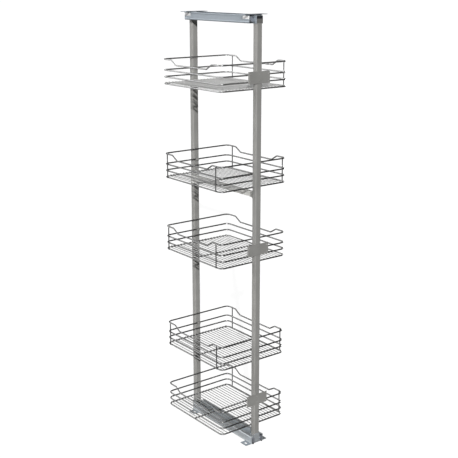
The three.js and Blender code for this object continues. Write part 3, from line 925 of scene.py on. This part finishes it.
def make_cage(node):
    """A thin ball cage with a row of windows in its back, and its balls."""
    extent = Extent(node)
    side, middle = extent.side(), extent.middle
    near, far = extent.near_far()
    if "inner" in node:
        inside = MOVING_HALF
        around = Extent(node.replace("inner_cage", "middle_member"))
    else:
        inside = Extent(node.replace("outer_cage", "middle_member")).size.z / 2
        around = Extent(node.replace("outer_cage", "fixed_member"))
    outside = around.size.z / 2 - MEMBER_WALL
    race, radius, wall = (inside + outside) / 2, (outside - inside) / 2 - 0.3, 0.6
    line = member_line(near, far, race + wall / 2, wall)
    shape = prism(member_outline(extent, line, wall, 0.7, 4), "Y", extent.low.y, extent.high.y)
    count, pitch, half_width, half_height = 8, 22.0, 7, 0.55 * race
    low_z, high_z = middle.z - half_height, middle.z + half_height
    start, end = on_side(side, far - 2, far + 2)
    windows = []
    for i in range(count):
        y = middle.y + (i - (count - 1) / 2) * pitch
        window = rounded_box(y - half_width, low_z, y + half_width, high_z, 1.5, 3)
        windows.append(prism(window, "X", start, end))
    shape = cut(shape, windows)
    for z in (middle.z - race, middle.z + race):
        for place in (-3 * pitch, 0, 3 * pitch):
            centre = (side * (near + radius), middle.y + place, z)
            shape.add(bead(centre, (radius,) * 3, 16))
    add_piece(node, shape, ["Bright steel"])


def make_mount_plate(node, sizes):
    """A slotted plate with rounded corners, and the weld seams of the members on it."""
    extent = Extent(node)
    low, high, middle = extent.low, extent.high, extent.middle
    slot_x, slot_radius, slot_straight, seam_x = 42, 5.5, 5, 31.2
    slots = [
        slot_outline(side * slot_x, middle.y, slot_radius, slot_straight) for side in (-1, 1)
    ]
    outline = rounded_box(low.x, low.y, high.x, high.y, 2.5)
    shape = prism(outline, "Z", low.z, high.z, slots, soft=sizes.soft_edge / MM)
    z = low.z - 0.2 if node.startswith("top") else high.z + 0.2
    first = -14 if node == "top_front_mount_plate" else -15
    for side in (-1, 1):
        for start in (first, 3):
            y = middle.y + start
            seam = [(side * seam_x, y + step, z) for step in (0, 3, 6, 9, 11)]
            shape.add(tube(seam, 0.9, sides=10))
    add_piece(node, shape, ["Zinc plating"])


def make_block(node):
    """A moulded block with a lip behind its window, a soft edge and a shallow pocket."""
    extent = Extent(node)
    near, far = extent.near_far()
    step = near + 0.5

    def slab(insets, corner, steps, start, end, soft):
        outline = rounded(extent.side_face(*insets), corner, steps, closed=True)
        return prism(outline, "X", *on_side(extent.side(), start, end), soft=soft)

    back = slab((0, 0), 1.0, 3, near, step, 0.2)
    front = slab((BLOCK_LIP, BLOCK_LIP), 1.2, 4, step, far, 0.5)
    pocket = slab((8, 5), 1.2, 4, far - 0.7, far + 3, 0)
    shape = back.add(cut(front, [pocket]))
    if "front" in node:
        add_piece(node, shape, ["White plastic"])
    else:
        add_piece(node, shape, ["Grey plastic"])


def make_bumper(node):
    """A rubber stop with a domed head on a flat shank."""
    extent = Extent(node)
    radius, front = extent.size.z / 2, extent.low.y
    x, z = extent.middle.x, extent.middle.z
    dome = [(0.3, 0), (0.72, 0.25), (0.93, 0.8), (1, 1.5), (1, 2.6), (0.9, 3.0)]  # radii, mm
    profile = [(part * radius, front + depth) for part, depth in dome]
    shape = turned_part(profile, "Y", (x, 0, z))
    shank = rounded_box(x - 2.4, z - 1.2, x + 2.4, z + 1.2, 0.6, 3)
    shape.add(prism(shank, "Y", front + 2.8, extent.high.y, soft=0.3))
    add_piece(node, shape, ["Black rubber and painted shade"])


def pan_head(axis, centre, radius, height, way):
    """A domed screw head with a cross recess, standing out along an axis."""
    dome = [(1, 0), (1, 0.35), (0.88, 0.75), (0.6, 0.95), (0.1, 1)]  # in radii and heights
    profile = [(a * radius, way * b * height) for a, b in dome]
    head = turned_part(profile, axis, centre)
    x, y, z = centre
    u, v, w = {"X": (y, z, x), "Y": (x, z, y), "Z": (x, y, z)}[axis]
    start, end = sorted((w + way * 0.45 * height, w + way * 2 * height))
    long, thin = 0.55 * radius, 0.13 * radius
    arm, cross = [(-thin, -thin), (-thin, -long), (thin, -long)], []
    for _ in range(4):
        cross += arm
        arm = [(-b, a) for a, b in arm]
    return cut(head, [prism([(u + a, v + b) for a, b in cross], axis, start, end)])


def make_screw(node):
    """A pan-head screw through the beam and the post's wall."""
    extent = Extent(node)
    _, y, z = extent.middle
    head_height, pitch, turns = 1.5, 0.55, 9
    core, crest, neck, tip = 1.55, 2.0, 1.9, 1.2
    start, head = extent.low.x, extent.high.x - head_height
    shape = pan_head("X", (head, y, z), extent.size.z / 2, head_height, 1)
    thread = []
    for i in range(turns):
        x = start + pitch * i
        thread += [(core if i else tip, x), (crest, x + 0.27)]
    thread.append((neck, head + 0.1))
    shape.add(turned_part(thread, "X", (0, y, z), 16))
    add_piece(node, shape, ["Screw steel"])


def make_brace(node, sizes):
    """The folded cross piece between the posts."""
    extent = Extent(node)
    line = channel_line(extent.high.x, extent.high.z, extent.low.z, SHEET)
    outline = bent_sheet(line, SHEET, sizes.sheet_bend / MM)
    shape = prism(outline, "Y", extent.low.y, extent.high.y, soft=0.3)
    # The brace's grey is brightened as painted light, against the shade of the basket above it.
    add_piece(node, shape, ["Brace grey brightened as painted light"])


def ear_face():
    """Distance of the inner faces of the clips' ears from the middle plane."""
    return Extent("mid_brace").high.x + 0.25


def ear_rivets(x, y, top):
    """Two rivets, one above the other, in an ear of a clip."""
    return join(rivet("X", (x, y, top - drop), 2.4, 0.9) for drop in (8, 16))


def make_rear_clip(node):
    """The folded clip that holds the brace to the rear post, with its rivets."""
    extent, face, ear = Extent(node), Extent("rear_post").low.y, ear_face()
    low, high = extent.low, extent.high
    web, bend = face - SHEET, 0.8
    half = [
        (ear, web),
        (ear, low.y),
        (ear + SHEET, low.y),
        (ear + SHEET, web),
        (high.x - bend, web),
        (high.x, web + bend),
        (high.x, high.y),
        (high.x - SHEET, high.y),
        (high.x - SHEET, face),
    ]
    outline = half + [(-x, y) for x, y in reversed(half)]
    shape = prism(outline, "Z", low.z, high.z, soft=0.3)
    for side in (-1, 1):
        shape.add(ear_rivets(side * (ear + SHEET), (low.y + web) / 2, high.z))
        for z in (high.z - 9, low.z + 9):
            shape.add(rivet("X", (side * high.x, (face + high.y) / 2, z), 2.6, 0.9))
    # The clip's grey is brightened as painted light.
    add_piece(node, shape, ["Grey paint brightened as painted light"])


def make_front_clip(node):
    """The clip on the front post, whose ears deepen in a curve towards the post."""
    extent, ear, ear_end = Extent(node), ear_face(), Extent("mid_brace").low.z
    near, far = extent.low.y, extent.high.y
    web, low, high = near + SHEET, extent.low.z, extent.high.z
    outline, steps = [(near, high), (near, low), (web, low)], 7
    for i in range(1, steps + 1):
        t = i / steps
        rise = 1 - (1 - t) ** 2
        outline.append((web + (far - web) * t**2, low + (ear_end - low) * rise))
    outline.append((far, high))
    outer = ear + SHEET
    shape = prism(rectangle(-outer, near, outer, web), "Z", low, high, soft=0.3)
    for side in (-1, 1):
        shape.add(prism(outline, "X", *on_side(side, ear, outer), soft=0.3))
        shape.add(ear_rivets(side * outer, (web + far) / 2, high))
    add_piece(node, shape, ["Grey paint"])


def make_door_plate(node):
    """A shallow folded plate with fixing holes, held on the post by two screws."""
    extent = Extent(node)
    low, high, middle = extent.low, extent.high, extent.middle.z
    wall, hole_x, hole_z, hole_radius, screw_z = 2.5, 46, 14, 2, 12
    x, y = high.x - wall / 2, low.y + wall / 2
    line = [(-x, high.y), (-x, y), (x, y), (x, high.y)]
    shape = prism(bent_sheet(line, wall, 0.8), "Z", low.z, high.z, soft=0.4)
    holes = []
    for u in (-hole_x, hole_x):
        for v in (middle - hole_z, middle + hole_z):
            holes.append(prism(circle(u, v, hole_radius), "Y", low.y - 5, low.y + 3.5))
    shape = cut(shape, holes)
    for v in (middle - screw_z, middle + screw_z):
        shape.add(pan_head("Y", (0, low.y + 0.1, v), 3.4, 1.3, -1))
    add_piece(node, shape, ["Plate paint"])


# ---------------------------------------------------------------- operators


class LARDER_OT_finishes(bpy.types.Operator):
    """Make the materials of the larder unit from the chosen colours"""

    bl_idname = "larder.finishes"
    bl_label = "Finishes"

    def execute(self, context):
        c = context.scene.larder_colours
        make_grain_group()
        make_rolling_group()
        make_spangle_group()
        make_wear_group()
        make_dust_group()
        for name, factor in (
            ("Grey paint", 1.0),
            ("Plate paint", 0.95),
            # Brightened as painted light, for the rear clip.
            ("Grey paint brightened as painted light", 2.2),
            # Brightened as painted light, for the brace.
            ("Brace grey brightened as painted light", 2.0),
            # Darkened as painted shade, for the top beam's tab.
            ("Grey paint darkened as painted shade", 0.55),
        ):
            coated_finish(name, shaded(c.paint, factor), c.wear, c.dust)
        for name, rgb, metallic in (
            ("Rim wire coating", c.rim, 1.0),
            # The top basket's copies are brightened as painted light.
            ("Rim wire coating brightened as painted light", shaded(c.rim, 2.05), 1.0),
            ("Floor wire coating", c.floor, 0.3),
            ("Floor wire coating brightened as painted light", shaded(c.floor, 1.2), 0.3),
            # The two lowest baskets' floor copy is darkened as painted shade.
            ("Floor wire coating darkened as painted shade", shaded(c.floor, 0.7), 0.3),
        ):
            coated_finish(name, rgb, 0.3 * c.wear, c.dust, (0.26, 0.36), metallic, 0.0)
        plated_finish("Zinc plating", c.zinc, c.wear, c.dust)
        # Brightened as painted light, for the bottom beam and its runners.
        plated_finish("Zinc brightened as painted light", c.painted_light_zinc, c.wear, c.dust)
        plated_finish("Tab steel", c.tab, c.wear, c.dust)
        bright_finish("Bright steel", c.steel)
        bright_finish("Screw steel", c.dark_steel)
        moulded_finish("White plastic", c.white, (0.4, 0.55), 2200, 0.08)
        moulded_finish("Grey plastic", c.pale, (0.4, 0.55), 2200, 0.08)
        # Also used for the black plug that paints the shade in the top beam's open end.
        moulded_finish("Black rubber and painted shade", c.rubber, (0.6, 0.8), 1400, 0.2)
        return {"FINISHED"}


class LARDER_OT_baskets(bpy.types.Operator):
    """Make the five wire baskets"""

    bl_idname = "larder.baskets"
    bl_label = "Baskets"

    def execute(self, context):
        for node in BASKETS:
            make_basket(node, context.scene.larder_sizes)
        return {"FINISHED"}


class LARDER_OT_hooks(bpy.types.Operator):
    """Make the hooks that carry the baskets"""

    bl_idname = "larder.hooks"
    bl_label = "Hooks"

    def execute(self, context):
        for basket in BASKETS:
            for end in ENDS:
                make_hook(f"{basket}_{end}_hook", context.scene.larder_sizes)
        return {"FINISHED"}


class LARDER_OT_posts(bpy.types.Operator):
    """Make the two posts"""

    bl_idname = "larder.posts"
    bl_label = "Posts"

    def execute(self, context):
        for end in ENDS:
            make_post(f"{end}_post", context.scene.larder_sizes)
        return {"FINISHED"}


class LARDER_OT_beams(bpy.types.Operator):
    """Make the bottom and top beams"""

    bl_idname = "larder.beams"
    bl_label = "Beams"

    def execute(self, context):
        for group in RUNNER_SETS:
            make_beam(f"{group}_beam", context.scene.larder_sizes)
        return {"FINISHED"}


class LARDER_OT_runners(bpy.types.Operator):
    """Make the fixed, middle and moving members of the four ball runners"""

    bl_idname = "larder.runners"
    bl_label = "Runner members"

    def execute(self, context):
        for group in RUNNER_SETS:
            for side in SIDES:
                # The bottom runners take zinc brightened as painted light.
                windows, finish = [], "Zinc brightened as painted light"
                if group == "top":
                    windows = [f"top_{end}_block_{side}" for end in ENDS]
                    finish = "Zinc plating"
                make_member(f"{group}_fixed_member_{side}", 1.8, 0.5, finish, windows)
                middle = f"{group}_middle_member_{side}"
                make_member(middle, 1.2, 0.3, "Bright steel")
                make_moving_member(f"{group}_moving_member_{side}")
        return {"FINISHED"}


class LARDER_OT_cages(bpy.types.Operator):
    """Make the ball cages of the runners"""

    bl_idname = "larder.cages"
    bl_label = "Ball cages"

    def execute(self, context):
        for group in RUNNER_SETS:
            for side in SIDES:
                for which in ("outer", "inner"):
                    make_cage(f"{group}_{which}_cage_{side}")
        return {"FINISHED"}


class LARDER_OT_mount_plates(bpy.types.Operator):
    """Make the slotted plates under and over the runners"""

    bl_idname = "larder.mount_plates"
    bl_label = "Mounting plates"

    def execute(self, context):
        for group in RUNNER_SETS:
            for end in ENDS:
                make_mount_plate(f"{group}_{end}_mount_plate", context.scene.larder_sizes)
        return {"FINISHED"}


class LARDER_OT_end_fittings(bpy.types.Operator):
    """Make the plastic blocks of the top runners and the rubber bumpers of the bottom ones"""

    bl_idname = "larder.end_fittings"
    bl_label = "Blocks and bumpers"

    def execute(self, context):
        for side in SIDES:
            for end in ENDS:
                make_block(f"top_{end}_block_{side}")
            make_bumper(f"bottom_bumper_{side}")
        return {"FINISHED"}


class LARDER_OT_screws(bpy.types.Operator):
    """Make the screws that hold the posts in the beams"""

    bl_idname = "larder.screws"
    bl_label = "Screws"

    def execute(self, context):
        for end in ENDS:
            for place in ("foot", "top"):
                make_screw(f"{end}_post_{place}_screw")
        return {"FINISHED"}


class LARDER_OT_brace(bpy.types.Operator):
    """Make the middle brace and its two clips"""

    bl_idname = "larder.brace"
    bl_label = "Brace"

    def execute(self, context):
        make_brace("mid_brace", context.scene.larder_sizes)
        make_front_clip("mid_brace_front_clip")
        make_rear_clip("mid_brace_rear_clip")
        return {"FINISHED"}


class LARDER_OT_door_plates(bpy.types.Operator):
    """Make the three plates that the cabinet door is screwed to"""

    bl_idname = "larder.door_plates"
    bl_label = "Door plates"

    def execute(self, context):
        for place in ("low", "middle", "high"):
            make_door_plate(f"door_plate_{place}")
        return {"FINISHED"}


class LARDER_OT_stage(bpy.types.Operator):
    """Set the floor, the lights and the camera"""

    bl_idname = "larder.stage"
    bl_label = "Stage"

    def execute(self, context):
        scene, s = context.scene, context.scene.larder_stage
        self.add_floor(scene, s)
        self.add_lights(scene, s)
        self.add_camera(scene, s)
        return {"FINISHED"}

    def add_floor(self, scene, s):
        reach = 600  # metres
        corners = [(x, y, 0) for x, y in rectangle(-reach, -reach, reach, reach)]
        mesh = bpy.data.meshes.new("Floor")
        mesh.from_pydata(corners, [], [(0, 1, 2, 3)])
        tree = new_material("Floor")
        grain = effect(tree, "Fine grain", Grains_per_metre=40, Patches_per_metre=0.6)
        seen = put(tree, "ShaderNodeLightPath").outputs["Is Camera Ray"]
        sources = {
            "Base Color": blend_colours(tree, grain["Tone"], shaded(s.floor, 0.99), s.floor),
            "Roughness": 0.9,
            "Specular IOR Level": 0.1,
            "Emission Color": (1, 1, 1, 1),
            "Emission Strength": product(tree, seen, s.floor_glow),
        }
        end_material(tree, put(tree, "ShaderNodeBsdfPrincipled", sources))
        mesh.materials.append(bpy.data.materials["Floor"])
        floor = bpy.data.objects.new("Floor", mesh)
        scene.collection.objects.link(floor)

    def add_lights(self, scene, s):
        lights = {
            "Key light": ((0.72, 1.0, -0.55), s.key, 0.6),
            "Side light": ((0.8, -0.55, -0.3), s.side, 62.0),
            "Fill light": ((-1.0, -0.25, -0.2), s.fill, 15.0),
            "Top light": ((0.1, -0.2, -1.0), s.top, 90.0),
        }
        for name, (way, power, spread) in lights.items():
            light = bpy.data.lights.new(name, "SUN")
            light.energy, light.angle = power, math.radians(spread)
            lamp = bpy.data.objects.new(name, light)
            lamp.rotation_mode = "QUATERNION"
            lamp.rotation_quaternion = Vector(way).to_track_quat("-Z", "Y")
            scene.collection.objects.link(lamp)
        world = bpy.data.worlds.new("Room")
        world.use_nodes = True
        world.node_tree.nodes["Background"].inputs[0].default_value = (1, 1, 1, 1)
        world.node_tree.nodes["Background"].inputs[1].default_value = s.room
        scene.world = world
        scene.view_settings.view_transform = "Standard"

    def add_camera(self, scene, s):
        camera = bpy.data.cameras.new("Camera")
        camera.lens, camera.sensor_width, camera.sensor_fit = s.lens, 36, "HORIZONTAL"
        holder = bpy.data.objects.new("Camera", camera)
        holder.location = s.camera_place
        holder.rotation_euler = Euler(s.camera_turn)
        scene.collection.objects.link(holder)
        scene.camera = holder


class LARDER_PT_panel(bpy.types.Panel):
    """Lists the larder unit's makers and settings in the sidebar"""

    bl_idname = "LARDER_PT_panel"
    bl_label = "Larder unit"
    bl_space_type = "VIEW_3D"
    bl_region_type = "UI"
    bl_category = "Larder"

    def draw(self, context):
        layout = self.layout
        for operator in OPERATORS:
            layout.operator(operator.bl_idname)
        for settings in ("larder_sizes", "larder_colours", "larder_stage"):
            group = getattr(context.scene, settings)
            box = layout.box()
            for name in group.__annotations__:
                box.prop(group, name)


OPERATORS = (
    LARDER_OT_finishes,
    LARDER_OT_baskets,
    LARDER_OT_hooks,
    LARDER_OT_posts,
    LARDER_OT_beams,
    LARDER_OT_runners,
    LARDER_OT_cages,
    LARDER_OT_mount_plates,
    LARDER_OT_end_fittings,
    LARDER_OT_screws,
    LARDER_OT_brace,
    LARDER_OT_door_plates,
    LARDER_OT_stage,
)
SETTINGS = {
    "larder_sizes": LarderSizes,
    "larder_colours": LarderColours,
    "larder_stage": LarderStage,
}
CLASSES = (*SETTINGS.values(), *OPERATORS, LARDER_PT_panel)


def register():
    for item in CLASSES:
        bpy.utils.register_class(item)
    for name, group in SETTINGS.items():
        setattr(bpy.types.Scene, name, bpy.props.PointerProperty(type=group))


def unregister():
    for name in SETTINGS:
        delattr(bpy.types.Scene, name)
    for item in reversed(CLASSES):
        bpy.utils.unregister_class(item)


def main():
    register()
    for operator in OPERATORS:
        group, name = operator.bl_idname.split(".")
        getattr(getattr(bpy.ops, group), name)()


if __name__ == "__main__":
    main()
